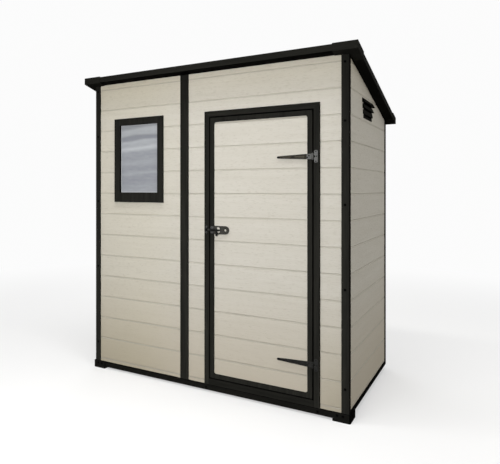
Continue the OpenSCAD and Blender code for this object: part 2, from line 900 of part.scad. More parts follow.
// A strap hinged at the origin: a root plate, then a taper along -X to a round tip
module hinge_strap() {
    tip_r = strap_tip_h / 2;
    neck_x = plate_start + strap_root_l;
    color(metal_colour) difference() {
        union() {
            hinge_plate() polygon(concat(
                arc(-strap_l + tip_r, 0, tip_r, 90, 270),
                [
                    [-neck_x, -strap_neck_h / 2], [-neck_x, -strap_root_h / 2],
                    [-plate_start, -strap_root_h / 2], [-plate_start, strap_root_h / 2],
                    [-neck_x, strap_root_h / 2], [-neck_x, strap_neck_h / 2]
                ]
            ));
            translate([-plate_start - 1, knuckle_r - hinge_t, -knuckle_h / 2])
                cube([plate_start + 1, hinge_t, knuckle_h]);
            cylinder(r = knuckle_r, h = knuckle_h, center = true);
        }
        cylinder(r = pin_r + pin_clear, h = knuckle_h + 2, center = true);
    }
}

// Outline of the butt plate, with round corners and a notch beside the strap's knuckle
function butt_outline() = let (w = butt_w - butt_r, h = butt_h / 2 - butt_r) concat(
    arc(w, h, butt_r, 0, 90), arc(butt_r, h, butt_r, 90, 180), arc(0, 0, knuckle_h / 2, 90, -90),
    arc(butt_r, -h, butt_r, 180, 270), arc(w, -h, butt_r, 270, 360)
);

// The butt at the origin, with its two knuckles and the pin through them
module hinge_butt() {
    z0 = knuckle_h / 2 + knuckle_gap;
    color(metal_colour) {
        hinge_plate() translate([plate_start, 0]) polygon(butt_outline());
        for (s = [0, 1]) mirror([0, 0, s]) translate([0, 0, z0]) {
            cylinder(r = knuckle_r, h = butt_knuckle_h);
            translate([0, knuckle_r - hinge_t, 0]) cube([plate_start + 1, hinge_t, butt_knuckle_h]);
        }
        cylinder(r = pin_r, h = 2 * (z0 + butt_knuckle_h + 2), center = true);
    }
}

module hinge_strap_upper() { translate([pin_x, pin_y, hinge_upper_z]) hinge_strap(); }
module hinge_strap_lower() { translate([pin_x, pin_y, hinge_lower_z]) hinge_strap(); }
module hinge_butt_upper() { translate([pin_x, pin_y, hinge_upper_z]) hinge_butt(); }
module hinge_butt_lower() { translate([pin_x, pin_y, hinge_lower_z]) hinge_butt(); }

// ---- latch ----

// A cylinder along the bolt's axis
module bolt_bar(x0, x1, r) {
    translate([x0, bolt_y, bolt_z]) rotate([0, 90, 0]) cylinder(r = r, h = x1 - x0);
}

// An arch over the bolt, standing on the surface at base_y
module arch(x0, w, base_y) {
    difference() {
        union() {
            bolt_bar(x0, x0 + w, guide_r);
            translate([x0, bolt_y, bolt_z - guide_r]) cube([w, base_y - bolt_y, 2 * guide_r]);
        }
        bolt_bar(x0 - 1, x0 + w + 1, bolt_r + bolt_clear);
    }
}

// Outline of the latch plate: round at its far end
function latch_outline() = let (r = latch_h / 2) concat(
    arc(latch_l - r, 0, r, -90, 90, 12),
    arc(latch_r, r - latch_r, latch_r, 90, 180), arc(latch_r, latch_r - r, latch_r, 180, 270)
);

module latch_plate() {
    color(metal_colour) {
        difference() {
            translate([plate_x, 0, bolt_z]) along_y(frame_y - latch_t, latch_t) polygon(latch_outline());
            translate([slot_x, 0, bolt_z - latch_slot_h / 2]) along_y(frame_y - latch_t - 1, latch_t + 2)
                rounded_rect(latch_slot_w, latch_slot_h, latch_r);
            translate([plate_x + latch_l - latch_h / 2, frame_y + 1, bolt_z]) rotate([90, 0, 0])
                cylinder(r = latch_hole_r, h = latch_t + 2);
        }
        arch(plate_x, guide_w, frame_y - latch_t / 2);
    }
}

module latch_bolt() {
    color(metal_colour) {
        bolt_bar(bolt_tip_x, bolt_end_x, bolt_r);
        translate([lug_x, 0, bolt_z]) along_y(bolt_y - lug_t / 2, lug_t)
            polygon(concat(
                arc(0, lug_w / 2 - lug_l, lug_w / 2, 180, 360),
                [[lug_w / 2, 0], [-lug_w / 2, 0]]
            ));
    }
}

// A flat plate with a square arch, through which the thrown bolt passes
module latch_keeper() {
    plate_y = frame_y - latch_t;
    half = bolt_r + keeper_clear;
    bridge_y = bolt_y - half;
    color(metal_colour) {
        translate([keeper_x - (keeper_flange_w - keeper_w) / 2, plate_y, bolt_z - latch_h / 2])
            cube([keeper_flange_w, latch_t, latch_h]);
        difference() {
            translate([keeper_x, bridge_y - guide_t, bolt_z - half - guide_t])
                cube([keeper_w, plate_y - bridge_y + guide_t, 2 * (half + guide_t)]);
            translate([keeper_x - 1, bridge_y, bolt_z - half])
                cube([keeper_w + 2, plate_y - bridge_y, 2 * half]);
        }
    }
}

floor_left();
floor_right();
base_feet();
base_rail_front();
base_rail_back();
base_rail_left();
base_rail_right();
post_front_left();
post_front_right();
post_back_left();
post_back_right();
mid_post_front();
mid_post_back();
front_wall_window();
front_wall_latch_side();
front_wall_hinge_side();
front_wall_over_door();
side_wall_left();
side_wall_right();
back_wall_left();
back_wall_right();
window_frame();
window_pane();
vent_left();
vent_right();
door_jamb_latch();
door_jamb_hinge();
door_head();
door_sill();
roof_boards_left();
roof_boards_right();
roof_trim_front();
roof_trim_back();
roof_trim_left();
roof_trim_right();
roof_caps();
door_rim();
door_panel();
hinge_strap_upper();
hinge_strap_lower();
hinge_butt_upper();
hinge_butt_lower();
latch_plate();
latch_bolt();
latch_keeper();
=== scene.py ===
import math

import bmesh
import bpy
from mathutils import Matrix, Vector


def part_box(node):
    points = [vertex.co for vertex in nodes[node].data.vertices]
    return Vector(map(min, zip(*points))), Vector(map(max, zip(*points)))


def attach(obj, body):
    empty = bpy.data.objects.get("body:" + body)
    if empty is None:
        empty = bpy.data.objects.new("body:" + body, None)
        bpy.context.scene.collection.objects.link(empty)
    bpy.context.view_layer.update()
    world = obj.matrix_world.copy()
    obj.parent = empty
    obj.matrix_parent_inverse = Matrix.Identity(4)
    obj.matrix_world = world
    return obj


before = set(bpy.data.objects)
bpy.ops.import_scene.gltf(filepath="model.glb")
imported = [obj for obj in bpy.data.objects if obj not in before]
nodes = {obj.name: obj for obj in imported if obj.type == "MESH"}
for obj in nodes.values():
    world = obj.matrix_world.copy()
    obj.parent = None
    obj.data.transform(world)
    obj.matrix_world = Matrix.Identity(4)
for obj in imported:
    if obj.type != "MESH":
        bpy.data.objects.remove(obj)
scene = bpy.context.scene
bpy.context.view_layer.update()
print("shed loaded:", len(nodes), "nodes")


# Shader helpers

def startMaterial(name):
    material = bpy.data.materials.new(name)
    material.use_nodes = True
    tree = material.node_tree
    shader = tree.nodes["Principled BSDF"]
    coord = tree.nodes.new("ShaderNodeTexCoord")
    return material, tree, shader, coord.outputs["Object"]


def noise(tree, vector, scale, detail=3.0, roughness=0.6, distortion=0.0):
    # scale says how fine it is along each axis
    mapping = tree.nodes.new("ShaderNodeMapping")
    mapping.inputs["Scale"].default_value = scale
    tree.links.new(vector, mapping.inputs["Vector"])
    node = tree.nodes.new("ShaderNodeTexNoise")
    node.inputs["Scale"].default_value = 1.0
    node.inputs["Detail"].default_value = detail
    node.inputs["Roughness"].default_value = roughness
    node.inputs["Distortion"].default_value = distortion
    tree.links.new(mapping.outputs[0], node.inputs["Vector"])
    return node.outputs["Fac"]


def remap(tree, value, low, high, toLow, toHigh):
    node = tree.nodes.new("ShaderNodeMapRange")
    for socket, number in zip(("From Min", "From Max", "To Min", "To Max"), (low, high, toLow, toHigh)):
        node.inputs[socket].default_value = number
    tree.links.new(value, node.inputs["Value"])
    return node.outputs[0]


def calc(tree, operation, *terms):
    node = tree.nodes.new("ShaderNodeMath")
    node.operation = operation
    for socket, term in zip(node.inputs, terms):
        if isinstance(term, (int, float)):
            socket.default_value = term
        else:
            tree.links.new(term, socket)
    return node.outputs[0]


def weightedSum(tree, *terms):
    total = 0.0
    for value, weight in terms:
        total = calc(tree, "MULTIPLY_ADD", value, weight, total)
    return total


def blendColours(tree, factor, first, second, mode="MIX"):
    node = tree.nodes.new("ShaderNodeMix")
    node.data_type = "RGBA"
    node.blend_type = mode
    for socket, term in ((node.inputs[0], factor), (node.inputs[6], first), (node.inputs[7], second)):
        if isinstance(term, tuple):
            socket.default_value = (*term, 1)
        elif isinstance(term, (int, float)):
            socket.default_value = term
        else:
            tree.links.new(term, socket)
    return node.outputs[2]


def splitAxes(tree, vector):
    split = tree.nodes.new("ShaderNodeSeparateXYZ")
    tree.links.new(vector, split.inputs[0])
    return split.outputs["X"], split.outputs["Y"], split.outputs["Z"]


def addBump(tree, shader, height, distance):
    bump = tree.nodes.new("ShaderNodeBump")
    bump.inputs["Distance"].default_value = distance
    bump.inputs["Strength"].default_value = 1.0
    tree.links.new(height, bump.inputs["Height"])
    tree.links.new(bump.outputs[0], shader.inputs["Normal"])


# Camera, floor and lights

viewing = {
    "place": (1.5587, -3.2714, 1.2329),
    "azimuth": 30.867,  # 0 looks along +Y
    "lens": 37.508,
    "shift": (0.1182, -0.0861),
}


def makeCamera(s):
    data = bpy.data.cameras.new("camera")
    data.lens = s["lens"]
    data.sensor_width = 36.0
    data.shift_x, data.shift_y = s["shift"]
    camera = bpy.data.objects.new("camera", data)
    camera.location = s["place"]
    camera.rotation_euler = (math.radians(90), 0, math.radians(s["azimuth"]))
    scene.collection.objects.link(camera)
    scene.camera = camera


studio = {
    "floorRadius": 40.0,
    "floorSides": 48,
    "floorColour": (0.86, 0.86, 0.855),
    "floorRoughness": 0.9,
    "floorGloss": 0.1,
    "backdrop": (0.97, 0.97, 0.97),
    "fade": (1.6, 5.5),  # the floor turns into the backdrop over these distances
    "nearGlow": 0.45,  # share of the backdrop's light in the floor beside the shed
    "skyTones": ((0.44, (0.10, 0.095, 0.085)), (0.80, (1.0, 1.0, 1.0))),
    "skyStrength": 0.55,
    # name: (place, aim, width, height, watts, colour, seen in gloss)
    "lamps": {
        "keyLamp": ((0.05, -3.1, 1.26), (0.05, -0.49, 1.05), 1.6, 1.6, 51, (1.0, 0.993, 1.0), True),
        "eaveLamp": ((0.1, -1.12, 4.4), (0.1, -0.5, 1.2), 2.6, 0.4, 68, (1.0, 0.99, 0.97), False),
        "sideLamp": ((4.6, -0.2, 1.8), (0.87, 0.0, 1.0), 2.2, 2.2, 48, (1.0, 0.978, 0.955), False),
        "topLamp": ((0.0, 0.4, 5.0), (0.0, 0.0, 1.9), 4.0, 4.0, 50, (0.98, 0.99, 1.0), True),
        "backLamp": ((-2.6, 4.4, 2.3), (0.0, 0.4, 1.0), 2.6, 2.0, 60, (1.0, 1.0, 1.0), False),
    },
}


def makeLamp(name, place, aim, width, height, watts, colour, inGloss):
    data = bpy.data.lights.new(name, "AREA")
    data.shape = "RECTANGLE"
    data.size, data.size_y = width, height
    data.energy = watts
    data.color = colour
    lamp = bpy.data.objects.new(name, data)
    lamp.location = place
    lamp.rotation_euler = (Vector(aim) - Vector(place)).to_track_quat("-Z", "Y").to_euler()
    lamp.visible_camera = False
    lamp.visible_glossy = inGloss
    scene.collection.objects.link(lamp)


def makeSky(s):
    # the camera sees an even backdrop, while the shed is lit by a dome that darkens towards the ground
    world = bpy.data.worlds.new("sky")
    scene.world = world
    world.use_nodes = True
    tree = world.node_tree
    tree.nodes.clear()
    out = tree.nodes.new("ShaderNodeOutputWorld")
    mix = tree.nodes.new("ShaderNodeMixShader")
    path = tree.nodes.new("ShaderNodeLightPath")
    dome = tree.nodes.new("ShaderNodeBackground")
    dome.inputs["Strength"].default_value = s["skyStrength"]
    seen = tree.nodes.new("ShaderNodeBackground")
    seen.inputs["Color"].default_value = (*s["backdrop"], 1)
    coord = tree.nodes.new("ShaderNodeTexCoord")
    height = splitAxes(tree, coord.outputs["Generated"])[2]
    ramp = tree.nodes.new("ShaderNodeValToRGB")
    for element, (position, colour) in zip(ramp.color_ramp.elements, s["skyTones"]):
        element.position = position
        element.color = (*colour, 1)
    tree.links.new(remap(tree, height, -1.0, 1.0, 0.0, 1.0), ramp.inputs["Fac"])
    tree.links.new(ramp.outputs["Color"], dome.inputs["Color"])
    tree.links.new(path.outputs["Is Camera Ray"], mix.inputs["Fac"])
    tree.links.new(dome.outputs[0], mix.inputs[1])
    tree.links.new(seen.outputs[0], mix.inputs[2])
    tree.links.new(mix.outputs[0], out.inputs["Surface"])


def makeFloor(s):
    mesh = bpy.data.meshes.new("studioFloor")
    bm = bmesh.new()
    bmesh.ops.create_circle(bm, cap_ends=True, segments=s["floorSides"], radius=s["floorRadius"])
    bm.to_mesh(mesh)
    bm.free()
    floor = bpy.data.objects.new("studioFloor", mesh)
    scene.collection.objects.link(floor)
    material, tree, shader, place = startMaterial("studioFloor")
    shader.inputs["Base Color"].default_value = (*s["floorColour"], 1)
    shader.inputs["Roughness"].default_value = s["floorRoughness"]
    shader.inputs["Specular IOR Level"].default_value = s["floorGloss"]
    glow = tree.nodes.new("ShaderNodeEmission")
    glow.inputs["Color"].default_value = (*s["backdrop"], 1)
    mix = tree.nodes.new("ShaderNodeMixShader")
    length = tree.nodes.new("ShaderNodeVectorMath")
    length.operation = "LENGTH"
    tree.links.new(place, length.inputs[0])
    fade = tree.nodes.new("ShaderNodeMapRange")
    fade.interpolation_type = "SMOOTHSTEP"
    fade.inputs["From Min"].default_value, fade.inputs["From Max"].default_value = s["fade"]
    fade.inputs["To Min"].default_value = s["nearGlow"]
    tree.links.new(length.outputs["Value"], fade.inputs["Value"])
    tree.links.new(fade.outputs[0], mix.inputs["Fac"])
    tree.links.new(shader.outputs[0], mix.inputs[1])
    tree.links.new(glow.outputs[0], mix.inputs[2])
    tree.links.new(mix.outputs[0], tree.nodes["Material Output"].inputs["Surface"])
    mesh.materials.append(material)
    floor.visible_diffuse = False  # the ground throws little light up on the walls
    floor.visible_glossy = False


makeCamera(viewing)
makeSky(studio)
makeFloor(studio)
for lampName, lamp in studio["lamps"].items():
    makeLamp(lampName, *lamp)
scene.view_settings.view_transform = "Standard"
print("camera, floor and lights ready")


# Finishes

boards = {
    "pitch": 0.142,  # from groove to groove
    "firstGroove": 0.0685,
    "grooveHalf": 0.0060,
    "grooveDrop": 0.0028,  # the painted groove shade sits this far below the groove
    "grooveStrength": ((0.15, 1.10), (1.0, 0.62)),  # heights, and the strength of the painted groove shade there
    "light": (0.672, 0.645, 0.570),
    "dark": (0.632, 0.603, 0.524),
    "paintedGrooveShade": (0.43, 0.405, 0.34),
    "fleckTone": (0.53, 0.50, 0.42),
    "fleckRange": (0.53, 0.72),  # where in their noise they start and are whole
    "fleckStrength": 0.62,
    "boardShift": (3.37, 1.93),  # how far the grain moves from board to board
    # name: (scale, detail, roughness, distortion)
    "grain": {
        "streaks": ((2.2, 2.2, 46), 4.0, 0.6, 0.5),
        "fibres": ((13, 13, 520), 3.0, 0.6, 0.0),
        "flecks": ((38, 38, 170), 3.0, 0.6, 0.3),
    },
    "roughness": (0.55, 0.75),
    "gloss": 0.25,
    "relief": 0.0006,
    "footShadeTone": (0.570, 0.508, 0.396),  # painted shade: the lowest boards darker and warmer
    "footShadeHeights": (0.03, 0.70),
    "footShadeStrength": 0.85,
    # painted light and shade, each with the x or height where it starts and where it is whole
    # painted light: the boards just under the eaves lighter
    "eavePaintedLight": ((1.70, 1.88), (1.070, 1.050, 0.995)),
    # painted shade: the left end warmer and a little darker
    "leftPaintedShade": ((-0.10, -0.45), (1.0, 0.992, 0.955)),
    # painted shade: the lower ends of the front wall darker
    "cornerPaintedShade": ((-0.05, -0.60), (0.68, 0.76), (0.50, 0.10), (0.890, 0.890, 0.860)),
    "sideStart": (0.835, 0.850),  # no painted corner shade beyond this
}


def boardResin(name, s):
    # pressed wood grain that runs along the board, and differs from board to board; painted shade in the
    # grooves, at the foot, the left end and the lower ends, and painted light under the eaves
    material, tree, shader, place = startMaterial(name)
    x, y, z = splitAxes(tree, place)
    course = calc(tree, "DIVIDE", calc(tree, "SUBTRACT", z, s["firstGroove"]), s["pitch"])
    number = calc(tree, "FLOOR", course)
    dropped = calc(tree, "FRACT", calc(tree, "ADD", course, s["grooveDrop"] / s["pitch"]))
    fromGroove = calc(tree, "MINIMUM", dropped, calc(tree, "SUBTRACT", 1.0, dropped))
    shifted = tree.nodes.new("ShaderNodeCombineXYZ")
    for socket, axis, shift in zip(shifted.inputs, (x, y), s["boardShift"]):
        tree.links.new(calc(tree, "ADD", axis, calc(tree, "MULTIPLY", number, shift)), socket)
    tree.links.new(z, shifted.inputs[2])
    streaks, fibres, flecks = (noise(tree, shifted.outputs[0], *grain) for grain in s["grain"].values())
    base = blendColours(tree, remap(tree, streaks, 0.3, 0.7, 0.0, 1.0), s["dark"], s["light"])
    fleck = remap(tree, flecks, *s["fleckRange"], 0.0, s["fleckStrength"])
    base = blendColours(tree, fleck, base, s["fleckTone"])
    # painted shade, darker and warmer towards the bottom of the walls
    foot = remap(tree, z, *s["footShadeHeights"], s["footShadeStrength"], 0.0)
    base = blendColours(tree, foot, base, s["footShadeTone"])
    # painted light under the eaves and painted shade towards the left end
    for axis, kind in ((z, "eavePaintedLight"), (x, "leftPaintedShade")):
        (start, whole), tint = s[kind]
        base = blendColours(tree, remap(tree, axis, start, whole, 0.0, 1.0), base, tint, "MULTIPLY")
    # painted shade at the lower ends of the front wall
    leftEdge, rightEdge, heights, tint = s["cornerPaintedShade"]
    corner = calc(tree, "MAXIMUM", remap(tree, x, *leftEdge, 0.0, 1.0), remap(tree, x, *rightEdge, 0.0, 1.0))
    corner = calc(tree, "MULTIPLY", corner, remap(tree, z, *heights, 0.0, 1.0))
    corner = calc(tree, "MULTIPLY", corner, remap(tree, x, *s["sideStart"], 1.0, 0.0))
    base = blendColours(tree, corner, base, tint, "MULTIPLY")
    # painted shade along the grooves, a little below them and stronger lower down
    shade = remap(tree, fromGroove, 0.0, s["grooveHalf"] / s["pitch"], 1.0, 0.0)
    (low, high), (atLow, atHigh) = s["grooveStrength"]
    shade = calc(tree, "MULTIPLY", shade, remap(tree, z, low, high, atLow, atHigh))
    base = blendColours(tree, shade, base, s["paintedGrooveShade"])
    tree.links.new(base, shader.inputs["Base Color"])
    tree.links.new(remap(tree, fibres, 0.3, 0.7, *s["roughness"]), shader.inputs["Roughness"])
    shader.inputs["Specular IOR Level"].default_value = s["gloss"]
    height = weightedSum(tree, (streaks, 0.8), (fibres, 0.5), (fleck, -1.2))
    addBump(tree, shader, height, s["relief"])
    return material


trim = {
    "dark": (0.0113, 0.0113, 0.0096),
    "light": (0.0206, 0.0202, 0.0170),
    "roughness": (0.58, 0.74),
    "gloss": 0.02,
    "relief": 0.0004,
    "fine": (12, 260),  # scales along the grain and across it
    "coarse": (1.5, 40),
    "uprightPaintedLight": ((0.2, 1.7), (1.50, 1.02)),  # heights, and how much painted light brightens the uprights there
    "turned": (0.70, 0.98),  # front parts of a normal between which a face is turned away or flat, for the painted shade on turned faces
    "down": (-0.9, -0.3),  # upward parts between which a face looks down or doesn't, for the painted shade on undersides
    # name: (grain along, tone, what is left of it on turned faces, and on faces that look down); the tones
    # are painted lighter and darker copies of one resin
    "kinds": {
        "trimUpright": ("z", 0.99, 0.28, 0.22),
        "trimLevel": ("x", 1.09, 0.28, 0.22),
        "trimBase": ("x", 0.74, 0.14, 0.12),
        "trimDeep": ("y", 0.99, 1.0, 0.39),
        "trimVent": ("y", 0.68, 1.0, 0.22),
        "trimEave": ("x", 0.92, 1.0, 0.05),
        "trimCap": ("x", 0.92, 1.0, 1.0),
    },
    "sunk": ((0.488, 0.495), 0.33),  # painted shade in recesses: distances from the middle, and what is left of the tone behind them
}


def trimResin(name, s, along, strength, turned, underside):
    # near-black resin with a faint grain along the piece; painted shade darkens edges, undersides and
    # recesses, and painted light lifts the uprights lower down
    material, tree, shader, place = startMaterial(name)
    fine, coarse = ([s[size][0 if axis == along else 1] for axis in "xyz"] for size in ("fine", "coarse"))
    grain = noise(tree, place, fine)
    clouds = noise(tree, place, coarse, 3.0, 0.55, 0.4)
    mixed = weightedSum(tree, (grain, 0.45), (clouds, 0.55))
    tone = blendColours(tree, remap(tree, mixed, 0.38, 0.62, 0.0, 1.0), s["dark"], s["light"])
    # painted shade: undersides, faces turned away from the front and faces set back in recesses keep only
    # part of their tone
    geometry = tree.nodes.new("ShaderNodeNewGeometry")
    ahead, slope = splitAxes(tree, geometry.outputs["True Normal"])[1:]
    left = remap(tree, slope, *s["down"], underside, 1.0)
    y, z = splitAxes(tree, place)[1:]
    if turned < 1:
        flat = remap(tree, calc(tree, "ABSOLUTE", ahead), *s["turned"], turned, 1.0)
        (low, high), remains = s["sunk"]
        depth = remap(tree, calc(tree, "ABSOLUTE", y), low, high, remains, 1.0)
        left = calc(tree, "MINIMUM", calc(tree, "MINIMUM", left, flat), depth)
    share = calc(tree, "MULTIPLY", left, strength)
    # painted light: the uprights lighter lower down
    if along == "z":
        (low, high), (atLow, atHigh) = s["uprightPaintedLight"]
        share = calc(tree, "MULTIPLY", share, remap(tree, z, low, high, atLow, atHigh))
    scaled = tree.nodes.new("ShaderNodeVectorMath")
    scaled.operation = "SCALE"
    tree.links.new(tone, scaled.inputs[0])
    tree.links.new(share, scaled.inputs["Scale"])
    tree.links.new(scaled.outputs[0], shader.inputs["Base Color"])
    tree.links.new(remap(tree, clouds, 0.35, 0.65, *s["roughness"]), shader.inputs["Roughness"])
    shader.inputs["Specular IOR Level"].default_value = s["gloss"]
    addBump(tree, shader, mixed, s["relief"])
    return material


# a darker and a lighter tone of each finish
steel = {
    "zinc": ((0.085, 0.086, 0.083), (0.150, 0.151, 0.146)),
    "olive": ((0.0172, 0.0150, 0.0100), (0.0305, 0.0265, 0.0180)),
    # painted highlight: the lighter olive of the raised ribs on the upper strap
    "oliveHighlight": ((0.040, 0.0362, 0.0255), (0.072, 0.065, 0.047)),
    "plate": ((0.024, 0.0235, 0.0190), (0.050, 0.049, 0.0400)),
    "grey": ((0.026, 0.026, 0.025), (0.056, 0.056, 0.053)),
    "black": ((0.010, 0.010, 0.009), (0.022, 0.022, 0.020)),
    "blackLight": ((0.0165, 0.0165, 0.0155), (0.036, 0.036, 0.034)),
    "soot": ((0.0045, 0.0045, 0.004), (0.009, 0.009, 0.008)),
    "screw": ((0.0020, 0.0020, 0.0018), (0.0050, 0.0050, 0.0045)),
    # painted shade: near black that stands in for the shade in the screw recesses
    "pitch": ((0.0006, 0.0006, 0.0006), (0.0014, 0.0014, 0.0013)),
}


wear = {
    "spangles": 260.0,
    "scratches": (60, 60, 300),
    "roughness": (-0.06, 0.10),  # how far it strays from what is asked
    "zoneBlur": 0.001,
    "relief": 0.0002,
}


def wornSteel(name, tones, roughness, metallic, zones=(), gloss=0.25):
    # spangled, slightly scratched metal; each zone is an x from which it has other tones
    material, tree, shader, place = startMaterial(name)
    spangle = tree.nodes.new("ShaderNodeTexVoronoi")
    spangle.inputs["Scale"].default_value = wear["spangles"]
    tree.links.new(place, spangle.inputs["Vector"])
    scratches = noise(tree, place, wear["scratches"])
    mixed = weightedSum(tree, (spangle.outputs["Distance"], 0.5), (scratches, 0.6))
    mixed = remap(tree, mixed, 0.3, 0.75, 0.0, 1.0)
    tone = blendColours(tree, mixed, *tones)
    blur = wear["zoneBlur"]
    for start, others in zones:
        beyond = remap(tree, splitAxes(tree, place)[0], start - blur, start + blur, 0.0, 1.0)
        tone = blendColours(tree, beyond, tone, blendColours(tree, mixed, *others))
    tree.links.new(tone, shader.inputs["Base Color"])
    low, high = (roughness + stray for stray in wear["roughness"])
    tree.links.new(remap(tree, scratches, 0.3, 0.7, low, high), shader.inputs["Roughness"])
    shader.inputs["Metallic"].default_value = metallic
    shader.inputs["Specular IOR Level"].default_value = gloss
    addBump(tree, shader, scratches, wear["relief"])
    return material


glazing = {
    "dark": (0.286, 0.300, 0.331),
    "light": (0.520, 0.545, 0.562),
    # painted reflection: soft light and dark bands; height as a share of the pane, and how light it is there
    "reflectionBands": (
        (0.06, 0.29), (0.20, 0.11), (0.26, 0.145), (0.30, 0.42), (0.35, 0.09), (0.44, 0.365), (0.54, 0.18),
        (0.59, 0.23), (0.65, 0.96), (0.70, 0.50), (0.74, 0.66), (0.782, 0.0), (0.812, 0.0), (0.858, 0.86),
        (0.915, 1.0), (0.965, 0.36),
    ),
    # name: (scale, detail, roughness)
    "drift": ((5, 5, 22), 2.0, 0.5),
    "clouds": ((18, 18, 66), 3.0, 0.5),
    "waver": 0.060,
    "tilt": 0.040,  # how much higher the bands are at the right
    "mottle": 0.45,
    "roughness": (0.30, 0.42),
    "gloss": 0.3,
    "relief": 0.0004,
}


def frostedPane(name, s, low, high):
    # cloudy acrylic with a painted reflection: soft bands near the top, nearly even below
    material, tree, shader, place = startMaterial(name)
    x, y, z = splitAxes(tree, place)
    drift = noise(tree, place, *s["drift"])
    clouds = noise(tree, place, *s["clouds"])
    level = calc(tree, "SUBTRACT", remap(tree, z, low.z, high.z, 0.0, 1.0),
                 remap(tree, x, low.x, high.x, -s["tilt"] / 2, s["tilt"] / 2))
    waver = calc(tree, "SUBTRACT", drift, 0.5)
    up = weightedSum(tree, (level, 1.0), (waver, s["waver"]))
    ramp = tree.nodes.new("ShaderNodeValToRGB")
    ramp.color_ramp.interpolation = "EASE"
    stops = ramp.color_ramp.elements
    for i, (position, lightness) in enumerate(s["reflectionBands"]):
        stop = stops[i] if i < 2 else stops.new(position)
        stop.position = position
        stop.color = (lightness, lightness, lightness, 1)
    tree.links.new(up, ramp.inputs["Fac"])
    mottle = calc(tree, "SUBTRACT", clouds, 0.5)
    mixed = weightedSum(tree, (ramp.outputs["Color"], 1.0), (mottle, s["mottle"]))
    tone = blendColours(tree, mixed, s["dark"], s["light"])
    tree.links.new(tone, shader.inputs["Base Color"])
    tree.links.new(remap(tree, drift, 0.3, 0.7, *s["roughness"]), shader.inputs["Roughness"])
    shader.inputs["Specular IOR Level"].default_value = s["gloss"]
    addBump(tree, shader, clouds, s["relief"])
    return material


floorGrip = {
    "tones": ((0.030, 0.030, 0.028), (0.048, 0.047, 0.044)),
    "pitch": 0.030,
    "ridge": (0.80, 0.95),  # shares of the way to a crest where it starts and is whole
    "clouds": ((9, 9, 9), 4.0),  # scale and detail
    "roughness": 0.62,
    "relief": 0.0015,
}


def grippedFloor(name, s):
    # charcoal resin pressed with a raised cross-hatch
    material, tree, shader, place = startMaterial(name)
    x, y, z = splitAxes(tree, place)
    waves = []
    for way in ("ADD", "SUBTRACT"):
        across = calc(tree, "DIVIDE", calc(tree, way, x, y), s["pitch"])
        waves.append(remap(tree, calc(tree, "PINGPONG", across, 1.0), *s["ridge"], 0.0, 1.0))
    ridges = calc(tree, "MAXIMUM", *waves)
    clouds = noise(tree, place, *s["clouds"])
    mixed = weightedSum(tree, (ridges, 0.4), (clouds, 0.6))
    tone = blendColours(tree, mixed, *s["tones"])
    tree.links.new(tone, shader.inputs["Base Color"])
    shader.inputs["Roughness"].default_value = s["roughness"]
    addBump(tree, shader, ridges, s["relief"])
    return material


def dress(nodeName, material):
    mesh = nodes[nodeName].data
    mesh.materials.clear()
    mesh.materials.append(material)


zoneStarts = {
    "tip": 0.012,  # length of the strap's darker tip
    "root": 0.040,  # length of its root plate
    "guide": 0.024,  # width of the latch's guide
}
strapLow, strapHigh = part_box("hinge_strap_upper")
tipX, rootX = strapLow.x + zoneStarts["tip"], strapHigh.x - zoneStarts["root"]
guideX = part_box("latch_plate")[0].x + zoneStarts["guide"]
# name: (tones, roughness, metallic, zones)
metals = {
    "strapSteel": ("soot", 0.60, 0.3, ((tipX, "olive"), (rootX, "zinc"))),
    # painted shade: the lower hinge's steels are darker copies of the upper hinge's
    "lowStrapSteel": ("soot", 0.55, 0.3, ((tipX, "black"), (rootX, "blackLight"))),
    "lowButtSteel": ("blackLight", 0.50, 0.3, ()),
    # painted highlight: the ribs lighter than the strap they stand on
    "ribHighlightSteel": ("oliveHighlight", 0.55, 0.3, ()),
    "buttSteel": ("zinc", 0.55, 0.5, ()),
    # painted shade: near black on the plate at the guide and on the bolt beyond it
    "plateSteel": ("soot", 0.55, 0.2, ((guideX, "plate"),)),
    "boltSteel": ("grey", 0.50, 0.3, ((guideX, "soot"),)),
    "padSteel": ("zinc", 0.55, 0.3, ()),
    "blackSteel": ("black", 0.50, 0.3, ()),
    "sootSteel": ("soot", 0.60, 0.2, ()),
    "screwSteel": ("screw", 0.65, 0.1, ()),
}
finishes = {
    "boardResin": boardResin("boardResin", boards),
    # painted shade: the near-black resin of the sunk screws and their collars
    "recessShadeResin": wornSteel("recessShadeResin", steel["pitch"], 0.90, 0.0, gloss=trim["gloss"]),
    "frostedPane": frostedPane("frostedPane", glazing, *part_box("window_pane")),
    "grippedFloor": grippedFloor("grippedFloor", floorGrip),
}
for name, (tones, roughness, metallic, zones) in metals.items():
    zones = [(start, steel[others]) for start, others in zones]
    finishes[name] = wornSteel(name, steel[tones], roughness, metallic, zones)
for kind, settings in trim["kinds"].items():
    finishes[kind] = trimResin(kind, trim, *settings)

# the first beginning that a node's name has gives its finish
wearing = (
    ("front_wall", "boardResin"), ("side_wall", "boardResin"), ("back_wall", "boardResin"),
    ("door_panel", "boardResin"), ("window_pane", "frostedPane"), ("floor", "grippedFloor"),
    ("hinge_butt_upper", "buttSteel"), ("hinge_strap_upper", "strapSteel"),
    ("hinge_butt", "lowButtSteel"), ("hinge_strap", "lowStrapSteel"),
    ("latch_plate", "plateSteel"), ("latch_bolt", "boltSteel"), ("latch_keeper", "sootSteel"),
    ("roof_boards", "trimDeep"), ("roof_trim_left", "trimDeep"), ("roof_trim_right", "trimDeep"),
    ("roof_caps", "trimCap"), ("roof_trim", "trimEave"), ("base", "trimBase"), ("vent", "trimVent"),
    ("door_head", "trimLevel"), ("door_sill", "trimLevel"), ("", "trimUpright"),
)
for nodeName in nodes:
    dress(nodeName, finishes[next(finish for start, finish in wearing if nodeName.startswith(start))])
print("finishes on every node")


# Shape helpers

